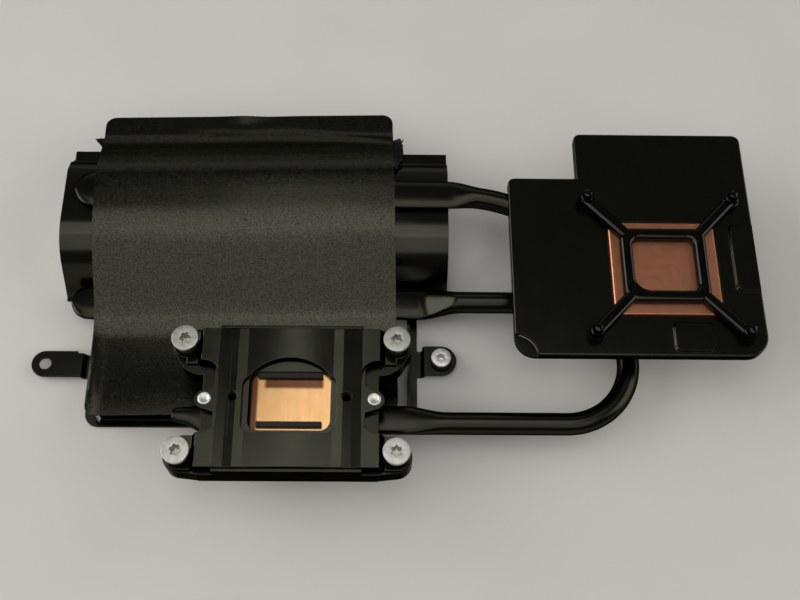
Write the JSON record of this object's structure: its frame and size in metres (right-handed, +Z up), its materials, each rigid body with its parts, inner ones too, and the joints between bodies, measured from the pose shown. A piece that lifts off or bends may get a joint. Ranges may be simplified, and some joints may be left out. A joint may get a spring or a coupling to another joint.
{
  "type": "cpu heatsink",
  "caption": "Low black heatsink with two contact stations: a finned block under a film duct, joined by flattened heat pipes to a sprung processor block and a notched plate with an X bracket.",
  "frame": {"origin": "middle of the footprint on the table, under the fins' lower side", "axes": "+X along the fin stack from the ear side to the GPU plate, +Y from the CPU block to the back of the film, +Z up to the contact side"},
  "size_m": [0.264, 0.1476, 0.036],
  "materials": {
    "fin_aluminium": "plain",
    "satin_black": "satin black",
    "pipe_black": "soft gloss black",
    "black_film": "fine-grained matt black",
    "black_tape": "creased, slightly shiny",
    "bright_screw": "bright",
    "black_rubber": "dull",
    "cpu_copper": "milled copper, bright",
    "cast_black": "satin black",
    "plate_black": "satin black",
    "bright_rivet": "bright",
    "matt_screw": "blasted",
    "black_foam": "dull",
    "pan_black": "fine orange peel",
    "gpu_copper": "lapped copper, pinkish",
    "gloss_black": "glossy black"
  },
  "bodies": {
    "root": {"fins": "fin_aluminium", "fin_base_plate": "satin_black", "fin_casing": "satin_black", "back_strip": "satin_black", "gpu_heat_pipe": "pipe_black", "cpu_heat_pipe": "pipe_black", "duct_frame": "satin_black", "duct_film": "black_film", "film_tabs": "black_tape", "ear_screw": "bright_screw", "ear_collar": "black_rubber", "cpu_copper_base": "cpu_copper", "cpu_body": "cast_black", "cpu_keeper_plate": "plate_black", "cpu_top_plate": "plate_black", "cpu_rivets": "bright_rivet", "cpu_screws": "matt_screw", "cpu_sleeves": "black_rubber", "cpu_foam_strips": "black_foam", "gpu_plate": "pan_black", "gpu_copper_base": "gpu_copper", "gpu_bracket": "gloss_black", "gpu_studs": "gloss_black"}
  },
  "joints": []
}
